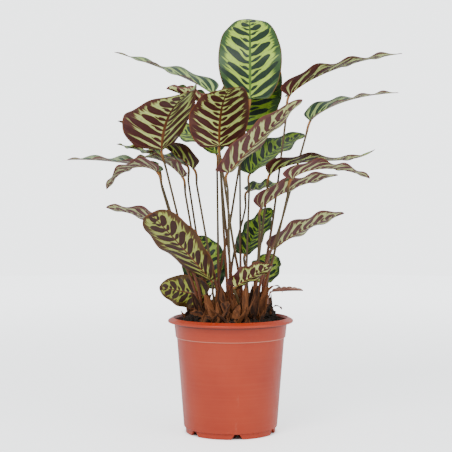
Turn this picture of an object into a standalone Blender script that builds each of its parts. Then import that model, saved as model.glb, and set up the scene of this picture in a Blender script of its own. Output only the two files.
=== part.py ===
"""A potted calathea: a thin nursery pot, its soil, and the leaves and dry sheaths that grow out of it.

Metres, +Z up. The origin is on the pot's axis at the floor. In the front view +X is right and +Y away.
"""

import math
from typing import NamedTuple

import bmesh
import bpy
import numpy as np
from mathutils import Vector, noise

# Clearances
GAP = 0.0003  # between pieces that touch
PAST = 0.001  # how far a cutter runs past the face it cuts

# Pot
POT_HEIGHT = 0.156
POT_SIDES = 40
LIP_RADIUS = 0.085
LIP_DROP = 0.0065  # from the top down to the lip's lower edge
LIP_EDGE = 0.0018  # height of the lip's rounded outer edge
LIP_ROUND = 0.0008
LIP_UNDER = 0.0008  # height of the lip's rounded lower edge
LIP_ROOT = 0.0016  # height over the lip's foot at which the wall meets it
MOUTH_FOOT = 0.003  # the same inside, where the wall opens into the mouth
MOUTH_RADIUS = 0.0778
BAND_RADIUS = 0.077  # the wider band, right under the lip
BAND_FOOT_RADIUS = 0.0746
BODY_TOP_RADIUS = 0.073
BODY_FOOT_RADIUS = 0.0635
BAND_FOOT = 0.1295  # height at which the band ends
BAND_STEP = 0.001  # height of the step under it
WALL = 0.0012
FOOT_RADIUS = 0.061
FOOT_WALL = 0.0032
FOOT_HEIGHT = 0.008
FOOT_STEP = 0.0009  # height of the step over the foot ring
FLOOR_THICKNESS = 0.0016
PAD_RADIUS = 0.012  # the pad under the middle of the floor
NOTCHES = 6
NOTCH_TURN = 8.0  # degrees from the front to the first notch
NOTCH_HEIGHT = 0.0068
NOTCH_WIDE = 0.016
NOTCH_NARROW = 0.0066
NOTCH_REACH = 0.005  # how far a notch's cutter runs past the ring on either side
DRAIN_RADIUS = 0.0045
DRAIN_CIRCLE = 0.045
DRAIN_SIDES = 12

# Soil
SOIL_EDGE = 0.147  # height at the pot's wall
SOIL_MOUND = 0.018  # how much higher it is in the middle
SOIL_RINGS = 8
SOIL_ROUGH = 0.0022
SOIL_GRAIN = 90.0  # lumps a metre
SOIL_LEVEL = 6  # power by which the lumps fade out towards the pot's wall
LUMP_AT = (0.049, 0.002)  # the tall lump on the right
LUMP_HEIGHT = 0.027
LUMP_SPREAD = 0.012
LOW_LUMP_AT = (-0.050, 0.026)
LOW_LUMP_HEIGHT = 0.012
LOW_LUMP_SPREAD = 0.012

# Stalks and blades
LEAF_ACROSS = 5  # points from margin to margin
DRY_ACROSS = 3
STALK_RINGS = 6
BLADE_RINGS = 11
DRY_STALK_RINGS = 3
DRY_BLADE_RINGS = 6
BLADE_THICK = 0.0007
STALK_FOOT_RADIUS = 0.0021
STALK_RADIUS = 0.00135
STALK_THINNED = 0.6  # share of the stalk by which it is down to this
JOINT_RADIUS = 0.0017  # the swollen joint under the blade
JOINT_LENGTH = 0.024
JOINT_SHARE = 0.4  # most of a short stalk that its joint takes up
JOINT_SWOLLEN = 0.7  # share of the joint that is swollen
RIB_TIP = 0.0001  # how far the midrib stands out under the tip
TIP_HALF = 0.0005
LOBE_FADE = 5  # power by which the drawn-back base gives way to the rest of the blade
FOLD_FADE = 3  # the same for the fold at the base
LIFT_LATE = 4  # the same for the lift of the tip
EVEN_SHARE = 0.45  # share of evenness in the spacing of the rings, which crowd at both ends
MIDRIB_STEPS = 120
FLATTENED = 0.06  # share of the blade over which the stalk's round section flattens
BURIED = 0.012
COLLAR = 0.002  # height over the soil up to which a stalk stands upright
HOLE_SIDES = 6
STRIP_NECK = 0.003  # height over its collar at which a dry strip opens out


class Leaf(NamedTuple):
    """One leaf. Angles are in degrees. A heading of 0 is right, 90 is away and -90 is towards the viewer."""

    name: str
    foot: tuple  # where the stalk leaves the soil
    neck: tuple  # where the blade begins
    heading: float  # way that the blade runs, seen from above
    rise: float  # slope of the blade at its base
    droop: float  # by how much the slope falls towards the tip
    length: float
    width: float
    bow: tuple = (0.0, 0.0)  # how far the middle of the stalk lies off the straight line
    swing: float = 0.0  # sideways bend of the blade
    when: float = 1.2  # under 1 it bends near its base, over 1 near its tip
    lift: float = 0.0  # how far the tip turns up again
    roll: float = 0.0  # turn of the upper side to the right, as seen from the base
    twist: float = 0.0  # further turn at the tip
    fold: tuple = (15.0, 15.0)  # how far the left and the right half are raised at the base
    fold_tip: tuple = (5.0, 5.0)
    base: float = 0.42  # power of the outline at the base: a small one makes it blunt
    tip: float = 0.62  # power of the outline at the tip
    lobe: float = 0.008  # how far the margins are drawn back beside the stalk
    curl: float = 10.0  # further bend of each half, towards its margin
    wave: tuple = (0.003, 3.0, 0.0)  # height, number and start of the waves of the margins
    rib: float = 0.0009  # how far the midrib stands out under the blade's base


LEAVES = [
    Leaf("leaf_01", (-0.020, 0.026), (0.027, 0.045, 0.454), 90, 92, 80, 0.142, 0.088, when=2.0, fold=(0, 0),
         fold_tip=(-4, -4), curl=4, wave=(0.002, 2.5, 0.2)),
    Leaf("leaf_02", (0.014, 0.034), (0.013, 0.088, 0.413), 20, 72, 22, 0.116, 0.092, roll=55, fold=(8, 8),
         base=0.32),
    Leaf("leaf_03", (0.043, 0.014), (0.0813, 0.055, 0.459), 0, 62, 55, 0.172, 0.066, when=0.33, fold=(10, 50),
         fold_tip=(0, 0), lobe=0.016, wave=(0.003, 4, 0)),
    Leaf("leaf_04", (0.037, 0.004), (0.111, 0.055, 0.424), 5, 64, 62, 0.135, 0.056, when=0.35, fold=(55, 0),
         fold_tip=(0, 0), wave=(0.002, 4, 0)),
    Leaf("leaf_05", (0.017, -0.020), (-0.015, -0.070, 0.384), -88, 76, 70, 0.101, 0.081, swing=24, when=1.6,
         roll=8, fold=(4, 4), fold_tip=(0, 0), wave=(0.0015, 3, 0)),
    Leaf("leaf_06", (0.000, -0.028), (-0.004, -0.085, 0.350), -30, 44, 8, 0.140, 0.072, base=0.36,
         fold=(8, 8), lobe=0.012, wave=(0.002, 3, 0.3)),
    Leaf("leaf_07", (-0.039, -0.010), (-0.092, -0.025, 0.381), -80, 62, 46, 0.116, 0.117, swing=42, roll=-6,
         twist=26, fold=(56, 6), fold_tip=(14, 5), lobe=0.009, wave=(0.002, 3, 0)),
    Leaf("leaf_08", (-0.004, 0.008), (-0.018, 0.012, 0.436), 180, 28, 10, 0.076, 0.036, curl=120),
    Leaf("leaf_09", (0.003, 0.020), (-0.023, 0.032, 0.460), 175, 54, 37, 0.152, 0.060, when=0.2, roll=-6,
         fold=(0, 45), fold_tip=(0, 0)),
    Leaf("leaf_10", (-0.034, 0.011), (-0.0655, 0.003, 0.346), 176, 50, 62, 0.072, 0.048, fold=(45, 10)),
    Leaf("leaf_11", (-0.016, 0.000), (-0.0507, 0.033, 0.357), 180, 48, 22, 0.125, 0.064, when=0.4,
         fold=(55, 10)),
    Leaf("leaf_12", (-0.040, 0.020), (-0.103, 0.048, 0.358), 171, 12, 14, 0.130, 0.052, roll=-5),
    Leaf("leaf_13", (-0.043, -0.002), (-0.098, -0.020, 0.352), 164, 44, 104, 0.086, 0.048, when=0.7,
         fold=(45, 10), tip=0.8),
    Leaf("leaf_14", (-0.038, 0.042), (-0.063, 0.070, 0.268), 176, 23, 13, 0.120, 0.056, roll=18),
    Leaf("leaf_15", (-0.020, -0.022), (-0.026, -0.032, 0.208), 214, 46, 4, 0.130, 0.064, roll=17, twist=16,
         fold=(0, 0), fold_tip=(0, 0), base=0.62, tip=0.38, wave=(0.002, 3, 0)),
    Leaf("leaf_16", (-0.029, 0.031), (-0.036, 0.034, 0.192), 100, 78, 20, 0.078, 0.064),
    Leaf("leaf_17", (-0.027, -0.008), (-0.0335, -0.003, 0.184), 170, 12, 5, 0.066, 0.046, roll=84),
    Leaf("leaf_18", (0.014, -0.036), (0.006, -0.054, 0.201), -22, 32, 4, 0.060, 0.037, roll=-50, fold=(40, 0),
         fold_tip=(30, 0), lobe=0.014),
    Leaf("leaf_19", (0.045, 0.036), (0.047, 0.060, 0.199), 70, 62, 20, 0.048, 0.045),
    Leaf("leaf_20", (0.026, 0.032), (0.020, 0.050, 0.238), 40, 56, 5, 0.081, 0.047, roll=10),
    Leaf("leaf_21", (0.033, -0.014), (0.0405, -0.014, 0.3025), -2, 58, 48, 0.115, 0.060, when=0.4, roll=-12,
         fold=(10, 40)),
    Leaf("leaf_22", (0.043, -0.008), (0.079, -0.062, 0.3425), 8, 50, 74, 0.110, 0.049, when=0.5, roll=-4,
         fold=(5, 50), lobe=0.018, wave=(0.003, 3.5, 0)),
    Leaf("leaf_23", (0.030, 0.008), (0.0525, 0.012, 0.348), 0, 70, 88, 0.152, 0.053, when=0.3, lift=58,
         roll=-3, fold=(10, 45), fold_tip=(2, 2)),
    Leaf("leaf_24", (0.020, 0.014), (0.027, 0.075, 0.3505), 22, 56, 32, 0.104, 0.070, when=0.5, roll=14),
    Leaf("leaf_25", (-0.002, 0.036), (0.025, 0.095, 0.326), 10, 16, 14, 0.058, 0.046, bow=(-0.006, 0.005),
         roll=12),
    Leaf("leaf_26", (0.047, 0.026), (0.0565, 0.050, 0.244), -4, 36, 20, 0.115, 0.062, roll=-20),
    Leaf("leaf_27", (-0.031, 0.020), (-0.0623, 0.047, 0.363), 163, 18, 4, 0.108, 0.048, roll=-4,
         wave=(0.004, 4, 0.1)),
    Leaf("leaf_28", (-0.016, 0.014), (-0.019, 0.040, 0.377), 165, 68, 62, 0.104, 0.064, when=0.4, roll=-22,
         lobe=0.003),
]

DRY_LEAF = Leaf("dry_leaf", (0.050, -0.003), (0.0545, -0.003, 0.190), 0, 5, 6, 0.044, 0.012,
                fold=(20, 20), fold_tip=(20, 20), lobe=0.0, curl=110, wave=(0.0012, 3, 0), rib=0.0)


def dry_strip(name, foot, heading, rise, droop, length, width, curl=60, roll=0, base=0.25, tip=0.7):
    """A dry sheath or root strap, as a leaf whose blade begins just over the soil."""
    flat = math.radians(heading)
    out = STRIP_NECK * math.cos(math.radians(rise))
    height = soil_height(*foot) + COLLAR + STRIP_NECK
    neck = (foot[0] + out * math.cos(flat), foot[1] + out * math.sin(flat), height)
    return Leaf(name, foot, neck, heading, rise, droop, length, width, roll=roll, fold=(10, 10),
                fold_tip=(0, 0), base=base, tip=tip, lobe=0.0, curl=curl, wave=(0.001, 2, 0), rib=0.0)


def dry_strips():
    """The papery sheaths round the foot of the clump, and the curled root straps on the lump."""
    return [
        dry_strip("sheath_01", (-0.0040, -0.057), 180, 84, 6, 0.023, 0.011, curl=20, roll=-90,
                  base=1.0, tip=0.15),
        dry_strip("sheath_02", (0.0200, -0.055), 0, 93, 6, 0.041, 0.008, curl=50, roll=90,
                  base=0.3, tip=0.35),
        dry_strip("sheath_03", (-0.0110, -0.046), 180, 84, -8, 0.040, 0.014, curl=50, roll=-80),
        dry_strip("sheath_04", (0.0060, -0.057), 0, 80, 14, 0.019, 0.010, curl=40, roll=80),
        dry_strip("sheath_05", (-0.0350, -0.041), 190, 28, 30, 0.017, 0.011, curl=40, roll=-40),
        dry_strip("sheath_06", (-0.0190, -0.057), 195, 24, 12, 0.013, 0.008, curl=40, roll=-35),
        dry_strip("sheath_07", (-0.0250, -0.045), 180, 80, 14, 0.030, 0.013, curl=60, roll=-90),
        dry_strip("sheath_08", (0.0310, -0.046), 0, 88, 12, 0.042, 0.013, curl=60, roll=85),
        dry_strip("sheath_09", (0.0410, -0.034), 0, 84, 14, 0.040, 0.013, curl=60, roll=75),
        dry_strip("sheath_10", (0.0075, -0.035), 0, 90, 10, 0.046, 0.010, curl=80, roll=80),
        dry_strip("sheath_11", (-0.0410, -0.026), 180, 76, 14, 0.030, 0.012, curl=70, roll=-80),
        dry_strip("sheath_12", (-0.0080, 0.049), 180, 84, 14, 0.034, 0.014, curl=70, roll=80),
        dry_strip("sheath_13", (0.0240, 0.049), 0, 82, 14, 0.030, 0.013, curl=70, roll=-80),
        dry_strip("sheath_14", (-0.0500, 0.030), 140, 70, 14, 0.028, 0.012, curl=70),
        dry_strip("sheath_15", (0.0050, -0.045), 0, 92, 8, 0.022, 0.012, curl=60, roll=95),
        dry_strip("sheath_16", (0.0255, -0.034), 0, 87, 6, 0.037, 0.010, curl=80, roll=80),
        dry_strip("sheath_17", (-0.0145, -0.034), 180, 86, 10, 0.036, 0.011, curl=80, roll=-80),
        dry_strip("sheath_18", (-0.0540, 0.017), 160, 68, 16, 0.022, 0.012, curl=60, roll=-40),
        dry_strip("sheath_19", (0.0410, 0.052), 20, 74, 14, 0.026, 0.012, curl=70, roll=-60),
        dry_strip("root_strap_01", (0.0520, 0.005), 20, 100, 190, 0.036, 0.004, curl=30, base=0.2, tip=0.3),
        dry_strip("root_strap_02", (0.0540, -0.010), -20, 60, 130, 0.018, 0.004, curl=30, base=0.2, tip=0.3),
    ]


def remove_everything():
    for thing in list(bpy.data.objects):
        bpy.data.objects.remove(thing, do_unlink=True)


def material(name, colour, roughness, metallic=0.0):
    made = bpy.data.materials.new(name)
    made.use_nodes = True
    shader = made.node_tree.nodes["Principled BSDF"]
    shader.inputs["Base Color"].default_value = (*colour, 1.0)
    shader.inputs["Roughness"].default_value = roughness
    shader.inputs["Metallic"].default_value = metallic
    return made


def add_object(name, mesh, surface=None, at=(0.0, 0.0, 0.0)):
    made = bpy.data.objects.new(name, mesh)
    made.location = at
    if surface:
        mesh.materials.append(surface)
    bpy.context.scene.collection.objects.link(made)
    return made


def mesh_of(name, points, faces):
    made = bpy.data.meshes.new(name)
    made.from_pydata([tuple(p) for p in points], [], faces)
    made.update()
    return made


def shade(mesh, sharp_degrees):
    mesh.shade_smooth()
    mesh.set_sharp_from_angle(angle=math.radians(sharp_degrees))


def turned(name, profile, sides):
    """A closed skin turned about +Z, from a profile that starts on the axis below and ends on it above."""
    points = [(0.0, 0.0, profile[0][1])]
    for radius, height in profile[1:-1]:
        for k in range(sides):
            angle = 2 * math.pi * k / sides
            points.append((radius * math.cos(angle), radius * math.sin(angle), height))
    points.append((0.0, 0.0, profile[-1][1]))
    rows = len(profile) - 2
    faces = []
    for k in range(sides):
        after = (k + 1) % sides
        faces.append((0, 1 + after, 1 + k))
        for row in range(rows - 1):
            low, high = 1 + row * sides, 1 + (row + 1) * sides
            faces.append((low + k, low + after, high + after, high + k))
        last = 1 + (rows - 1) * sides
        faces.append((last + k, last + after, len(points) - 1))
    return mesh_of(name, points, faces)


def cut(target, cutter):
    """Take the cutter's shape out of the target with a Boolean that stays on it."""
    cutter.hide_render = True
    cutter.display_type = "WIRE"
    modifier = target.modifiers.new("cut", "BOOLEAN")
    modifier.operation = "DIFFERENCE"
    modifier.object = cutter


def prisms(name, outlines):
    """One mesh of closed prisms, each given as its lower and its upper outline."""
    points, faces = [], []
    for lower, upper in outlines:
        first, sides = len(points), len(lower)
        points += [*lower, *upper]
        faces.append(tuple(first + k for k in reversed(range(sides))))
        faces.append(tuple(first + sides + k for k in range(sides)))
        for k in range(sides):
            after = (k + 1) % sides
            faces.append((first + k, first + after, first + sides + after, first + sides + k))
    return mesh_of(name, points, faces)


def circle(x, y, z, radius, sides):
    turns = [2 * math.pi * k / sides for k in range(sides)]
    return [(x + radius * math.cos(turn), y + radius * math.sin(turn), z) for turn in turns]


def pot_inside():
    """(radius, height) points of the pot's inner wall, from its floor up to its mouth."""
    floor = FOOT_HEIGHT + FLOOR_THICKNESS
    return [
        (BODY_FOOT_RADIUS - WALL, floor),
        (BODY_TOP_RADIUS - WALL, BAND_FOOT - BAND_STEP),
        (BAND_FOOT_RADIUS - WALL, BAND_FOOT + BAND_STEP),
        (BAND_RADIUS - WALL, POT_HEIGHT - LIP_DROP + MOUTH_FOOT),
        (MOUTH_RADIUS - GAP, POT_HEIGHT - LIP_ROUND),
    ]


def pot_profile():
    floor = FOOT_HEIGHT + FLOOR_THICKNESS
    lip_foot = POT_HEIGHT - LIP_DROP
    edge_foot = lip_foot + LIP_UNDER
    outside = [
        (FOOT_RADIUS, 0.0),
        (FOOT_RADIUS, FOOT_HEIGHT - FOOT_STEP),
        (BODY_FOOT_RADIUS, FOOT_HEIGHT),
        (BODY_TOP_RADIUS, BAND_FOOT - BAND_STEP),
        (BAND_FOOT_RADIUS, BAND_FOOT),
        (BAND_RADIUS, lip_foot + LIP_ROOT),
        (LIP_RADIUS - LIP_UNDER, lip_foot),
        (LIP_RADIUS, edge_foot),
        (LIP_RADIUS, edge_foot + LIP_EDGE),
        (LIP_RADIUS - LIP_ROUND, edge_foot + LIP_EDGE + LIP_ROUND),
        (MOUTH_RADIUS + LIP_ROUND, POT_HEIGHT),
        (MOUTH_RADIUS, POT_HEIGHT),
    ]
    below = [(0.0, 0.0), (PAD_RADIUS, 0.0), (PAD_RADIUS + GAP, FOOT_HEIGHT)]
    ring = [(FOOT_RADIUS - FOOT_WALL, FOOT_HEIGHT), (FOOT_RADIUS - FOOT_WALL, 0.0)]
    return below + ring + outside + pot_inside()[::-1] + [(0.0, floor)]


def notch_outlines():
    """Trapezoids cut through the foot ring, one every sixth of a turn."""
    near, far = FOOT_RADIUS - FOOT_WALL - NOTCH_REACH, FOOT_RADIUS + NOTCH_REACH
    wide = NOTCH_WIDE + (NOTCH_WIDE - NOTCH_NARROW) * PAST / NOTCH_HEIGHT
    made = []
    for k in range(NOTCHES):
        turn = math.radians(NOTCH_TURN - 90.0 + 360.0 / NOTCHES * k)
        out = Vector((math.cos(turn), math.sin(turn), 0.0))
        side = Vector((-math.sin(turn), math.cos(turn), 0.0))
        levels = []
        for breadth, height in ((wide, -PAST), (NOTCH_NARROW, NOTCH_HEIGHT)):
            corners = ((near, -1), (far, -1), (far, 1), (near, 1))
            up = Vector((0.0, 0.0, height))
            levels.append([tuple(out * r + side * (h * breadth / 2) + up) for r, h in corners])
        made.append(levels)
    return made


def drain_outlines():
    made = []
    for k in range(NOTCHES):
        turn = math.radians(NOTCH_TURN - 90.0 + 360.0 / NOTCHES * (k + 0.5))
        x, y = DRAIN_CIRCLE * math.cos(turn), DRAIN_CIRCLE * math.sin(turn)
        ends = (FOOT_HEIGHT - PAST, FOOT_HEIGHT + FLOOR_THICKNESS + PAST)
        made.append([circle(x, y, z, DRAIN_RADIUS, DRAIN_SIDES) for z in ends])
    return made


def add_pot():
    mesh = turned("pot", pot_profile(), POT_SIDES)
    shade(mesh, 40)
    pot = add_object("pot", mesh, material("pot", (0.52, 0.12, 0.06), 0.38))
    cut(pot, add_object("pot_openings", prisms("pot_openings", notch_outlines() + drain_outlines())))


def soil_height(x, y):
    """Height of the soil's surface, with its mound and its lumps."""
    share = min(1.0, math.hypot(x, y) / soil_radius(SOIL_EDGE))
    height = SOIL_EDGE + SOIL_MOUND * (1.0 - share**2)
    lumps = ((LUMP_AT, LUMP_HEIGHT, LUMP_SPREAD), (LOW_LUMP_AT, LOW_LUMP_HEIGHT, LOW_LUMP_SPREAD))
    for (at_x, at_y), tall, spread in lumps:
        away = math.hypot(x - at_x, y - at_y) / spread
        height += tall * math.exp(-(away**2)) * (1.0 - share**SOIL_LEVEL)
    rough = noise.noise(Vector((x, y, 0.0)) * SOIL_GRAIN)
    return height + SOIL_ROUGH * rough * (1.0 - share**SOIL_LEVEL)


def soil_radius(height):
    """The soil's radius at a height: a gap inside the pot's inner wall."""
    radii, heights = zip(*pot_inside())
    return float(np.interp(height, heights, radii)) - GAP


def soil_profile():
    bottom = FOOT_HEIGHT + FLOOR_THICKNESS + GAP
    top = soil_radius(SOIL_EDGE)
    wall = [height for _, height in pot_inside()[1:3]]
    sides = [(soil_radius(height), height) for height in (bottom, *wall, SOIL_EDGE)]
    rings = [(top * (SOIL_RINGS - k) / SOIL_RINGS, SOIL_EDGE) for k in range(1, SOIL_RINGS)]
    return [(0.0, bottom)] + sides + rings + [(0.0, SOIL_EDGE)]


def hole_outlines(leaves):
    """Plain holes in which the stalks stand, with a gap all round."""
    radius = (STALK_FOOT_RADIUS + GAP) / math.cos(math.pi / HOLE_SIDES)
    made = []
    for leaf in leaves:
        height = soil_height(*leaf.foot)
        ends = (height - BURIED - GAP, height + LUMP_HEIGHT)
        made.append([circle(*leaf.foot, z, radius, HOLE_SIDES) for z in ends])
    return made


def add_soil(leaves):
    mesh = turned("soil", soil_profile(), POT_SIDES)
    for vertex in mesh.vertices:
        if abs(vertex.co.z - SOIL_EDGE) < GAP:
            vertex.co.z = soil_height(vertex.co.x, vertex.co.y)
    work = bmesh.new()
    work.from_mesh(mesh)
    bmesh.ops.triangulate(work, faces=work.faces)
    work.to_mesh(mesh)
    work.free()
    shade(mesh, 50)
    soil = add_object("soil", mesh, material("soil", (0.030, 0.020, 0.014), 0.95))
    cut(soil, add_object("stalk_holes", prisms("stalk_holes", hole_outlines(leaves))))


def unit(v):
    return v / np.linalg.norm(v)


def blade_ways(leaf, shares):
    """For each share of the blade's length: the ways along, to the right margin and out of the upper side."""
    ways = []
    for s in shares:
        slope = math.radians(leaf.rise - leaf.droop * s**leaf.when + leaf.lift * s**LIFT_LATE)
        turn = math.radians(leaf.heading + leaf.swing * s)
        lean = math.radians(leaf.roll + leaf.twist * s)
        flat = np.array([math.cos(turn), math.sin(turn), 0.0])
        up = np.array([0.0, 0.0, 1.0])
        along = flat * math.cos(slope) + up * math.sin(slope)
        over = up * math.cos(slope) - flat * math.sin(slope)
        side = np.cross(along, over)
        out = over * math.cos(lean) + side * math.sin(lean)
        ways.append((along, np.cross(along, out), out))
    return ways


def midrib(leaf, shares):
    """Points on the midrib at these shares of its length."""
    fine = np.linspace(0.0, 1.0, MIDRIB_STEPS + 1)
    along = np.array([way[0] for way in blade_ways(leaf, fine)])
    steps = (along[1:] + along[:-1]) / 2.0 * (leaf.length / MIDRIB_STEPS)
    path = np.array(leaf.neck) + np.vstack([np.zeros(3), np.cumsum(steps, axis=0)])
    return np.array([[np.interp(s, fine, path[:, axis]) for axis in range(3)] for s in shares])


def curve_through(points, first_way, last_way, rings):
    """Points on a smooth curve, some in each span, with the ways it starts and ends in."""
    spans = [np.linalg.norm(b - a) for a, b in zip(points, points[1:])]
    slopes = [first_way]
    for i in range(1, len(points) - 1):
        before = (points[i] - points[i - 1]) / spans[i - 1]
        after = (points[i + 1] - points[i]) / spans[i]
        slopes.append((before * spans[i] + after * spans[i - 1]) / (spans[i] + spans[i - 1]))
    slopes.append(last_way)
    made = [points[0]]
    for i, span in enumerate(spans):
        for k in range(1, rings[i] + 1):
            h = k / rings[i]
            made.append(
                points[i] * (2 * h**3 - 3 * h**2 + 1)
                + slopes[i] * span * (h**3 - 2 * h**2 + h)
                + points[i + 1] * (3 * h**2 - 2 * h**3)
                + slopes[i + 1] * span * (h**3 - h**2)
            )
    return np.array(made)


def stalk_path(leaf, rings):
    """The stalk's points up to the neck, their distances along it, and the joint's length."""
    foot = np.array([*leaf.foot, soil_height(*leaf.foot) + COLLAR])
    neck = np.array(leaf.neck)
    run = neck - foot
    joint = min(JOINT_LENGTH, JOINT_SHARE * np.linalg.norm(run))
    below = neck - unit(run) * joint
    middle = (foot + below) / 2.0 + np.array([*leaf.bow, 0.0])
    last_way = blade_ways(leaf, [0.0])[0][0]
    lower = rings // 3
    parts = (lower, lower, rings - 2 * lower)
    path = curve_through([foot, middle, below, neck], np.array([0.0, 0.0, 1.0]), last_way, parts)
    lengths = np.concatenate([[0.0], np.cumsum(np.linalg.norm(np.diff(path, axis=0), axis=1))])
    return path, lengths, joint


def carried_back(path, last_side, last_out):
    """Side and out ways along a path, turned as little as possible from those at its end."""
    ways = [(last_side, last_out)]
    alongs = [unit(path[min(i + 1, len(path) - 1)] - path[max(i - 1, 0)]) for i in range(len(path))]
    for i in range(len(path) - 2, -1, -1):
        side, out = ways[0]
        turn = Vector(alongs[i + 1]).rotation_difference(Vector(alongs[i])).to_matrix()
        ways.insert(0, (np.array(turn @ Vector(side)), np.array(turn @ Vector(out))))
    return ways


def round_ring(centre, side, out, radius, across):
    """A ring of twice as many points as across, the first half of them on the upper side."""
    angles = [math.pi * (1.0 - (k + 0.5) / across) for k in range(2 * across)]
    return np.array([centre + radius * (math.cos(a) * side + math.sin(a) * out) for a in angles])


def half_width(leaf, s):
    """Half the blade's breadth at a share of its length."""
    peak = leaf.base / (leaf.base + leaf.tip)
    most = peak**leaf.base * (1.0 - peak) ** leaf.tip
    return leaf.width / 2.0 * s**leaf.base * (1.0 - s) ** leaf.tip / most + TIP_HALF


def section(leaf, s, places):
    """Each place's way back, to the side and over the midrib, for places from -1 to 1."""
    half = half_width(leaf, s)
    tall, number, start = leaf.wave
    made = []
    for t in places:
        half_of = 0 if t < 0 else 1
        closing = leaf.fold[half_of] - leaf.fold_tip[half_of]
        opened = leaf.fold_tip[half_of] + closing * (1.0 - s) ** FOLD_FADE
        fold = math.radians(opened)
        bend = math.radians(leaf.curl) * abs(t) + 1e-6
        reach = abs(t) * half / bend
        aside = reach * (math.sin(fold + bend) - math.sin(fold))
        height = reach * (math.cos(fold) - math.cos(fold + bend))
        phase = start + number * s + (0.5 if t < 0 else 0.0)
        height += tall * t * t * math.sin(2 * math.pi * phase) * math.sin(math.pi * s) ** 0.5
        back = leaf.lobe * t * t * (1.0 - s) ** LOBE_FADE
        made.append((back, math.copysign(aside, t), height))
    return made


def blade_sheet(leaf, shares, places):
    """The blade's middle surface and its normals, as arrays of stations by places."""
    ribs = midrib(leaf, shares)
    ways = blade_ways(leaf, shares)
    sheet = np.zeros((len(shares), len(places), 3))
    for i, s in enumerate(shares):
        along, side, out = ways[i]
        for j, (back, aside, height) in enumerate(section(leaf, s, places)):
            sheet[i, j] = ribs[i] - along * back + side * aside + out * height
    normals = np.cross(np.gradient(sheet, axis=1), np.gradient(sheet, axis=0))
    normals /= np.linalg.norm(normals, axis=2, keepdims=True)
    return sheet, normals, ribs, ways


def stalk_rings_of(leaf, path, lengths, joint, across):
    """Rings of the stalk: upright in the soil, then along its path, and thicker at the joint."""
    _, side, out = blade_ways(leaf, [0.0])[0]
    carried = carried_back(path, side, out)
    flat = unit(np.array([carried[0][0][0], carried[0][0][1], 0.0]))
    level = np.cross(flat, np.array([0.0, 0.0, 1.0]))
    end = path[0] - np.array([0.0, 0.0, COLLAR + BURIED])
    rings = [round_ring(centre, flat, level, STALK_FOOT_RADIUS, across) for centre in (end, path[0])]
    for i in range(1, len(path)):
        share = lengths[i] / lengths[-1]
        radius = STALK_FOOT_RADIUS + (STALK_RADIUS - STALK_FOOT_RADIUS) * min(1.0, share / STALK_THINNED)
        if lengths[-1] - lengths[i] < joint * JOINT_SWOLLEN:
            radius = max(radius, JOINT_RADIUS)
        rings.append(round_ring(path[i], *carried[i], radius, across))
    return rings


def blade_rings_of(leaf, across, count, thick):
    """Rings of the blade, which flatten from the joint's round section and end in the tip."""
    even = np.linspace(0.0, 1.0, count + 1)
    shares = EVEN_SHARE * even + (1.0 - EVEN_SHARE) * (1.0 - np.cos(math.pi * even)) / 2.0
    sheet, normals, ribs, ways = blade_sheet(leaf, shares, np.linspace(-1.0, 1.0, across))
    rings = []
    for i in range(1, len(shares)):
        s = shares[i]
        _, side, out = ways[i]
        upper = sheet[i] + normals[i] * thick / 2.0
        lower = sheet[i] - normals[i] * thick / 2.0
        lower[across // 2] -= out * (leaf.rib + (RIB_TIP - leaf.rib) * s)
        flat_ring = np.vstack([upper, lower[::-1]])
        mix = min(1.0, s / FLATTENED)
        tube = round_ring(ribs[i], side, out, JOINT_RADIUS * (1.0 - mix / 2), across)
        rings.append(tube * (1.0 - mix) + flat_ring * mix)
    return rings


def skin_faces(ring_count, across):
    """Triangles of a closed skin over rings. The upper and lower sides are split alike."""
    size = 2 * across
    faces = []
    for i in range(ring_count - 1):
        for k in range(size):
            after = (k + 1) % size
            a, b = i * size + k, i * size + after
            c, d = b + size, a + size
            place = k if k < across else size - 2 - k
            left_half = place < across // 2
            first_split = left_half if k < across else not left_half
            if first_split:
                faces += [(a, b, c), (a, c, d)]
            else:
                faces += [(a, b, d), (b, c, d)]
    last = (ring_count - 1) * size
    for k in range(across - 1):
        p, q = k, k + 1
        r, t = size - 1 - q, size - 1 - p
        faces += [(p, r, q), (p, t, r)]
        faces += [(last + p, last + q, last + r), (last + p, last + r, last + t)]
    return faces


def add_leaf(leaf, surface, across, stalk_rings, blade_rings):
    """One leaf as a closed skin, with its object's origin where its stalk leaves the soil."""
    path, lengths, joint = stalk_path(leaf, stalk_rings)
    rings = stalk_rings_of(leaf, path, lengths, joint, across)
    rings += blade_rings_of(leaf, across, blade_rings, BLADE_THICK)
    at = np.array([*leaf.foot, soil_height(*leaf.foot)])
    mesh = mesh_of(leaf.name, np.vstack(rings) - at, skin_faces(len(rings), across))
    shade(mesh, 60)
    add_object(leaf.name, mesh, surface, at)


def main():
    remove_everything()
    add_pot()
    strips = dry_strips()
    add_soil([*LEAVES, DRY_LEAF, *strips])
    green = material("leaf", (0.16, 0.26, 0.07), 0.42)
    for leaf in LEAVES:
        add_leaf(leaf, green, LEAF_ACROSS, STALK_RINGS, BLADE_RINGS)
    dry = material("dry leaf", (0.42, 0.25, 0.19), 0.75)
    papery = material("sheath", (0.25, 0.11, 0.05), 0.80)
    for strip in (DRY_LEAF, *strips):
        surface = dry if strip is DRY_LEAF else papery
        add_leaf(strip, surface, DRY_ACROSS, DRY_STALK_RINGS, DRY_BLADE_RINGS)


main()
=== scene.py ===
"""The potted calathea with its looks: patterned blades, papery sheaths, crumbly soil and a satin plastic pot.

Metres, +Z up. The origin is on the pot's axis at the floor. In the front view +X is right and +Y away.
The leaf table and the functions that shape the leaves are those of the part's source, at a finer division.
"""

import random
from math import atan, copysign, cos, exp, hypot, pi, radians, sin, sqrt
from typing import NamedTuple

import bmesh
import bpy
import numpy as np
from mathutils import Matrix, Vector, noise


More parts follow.
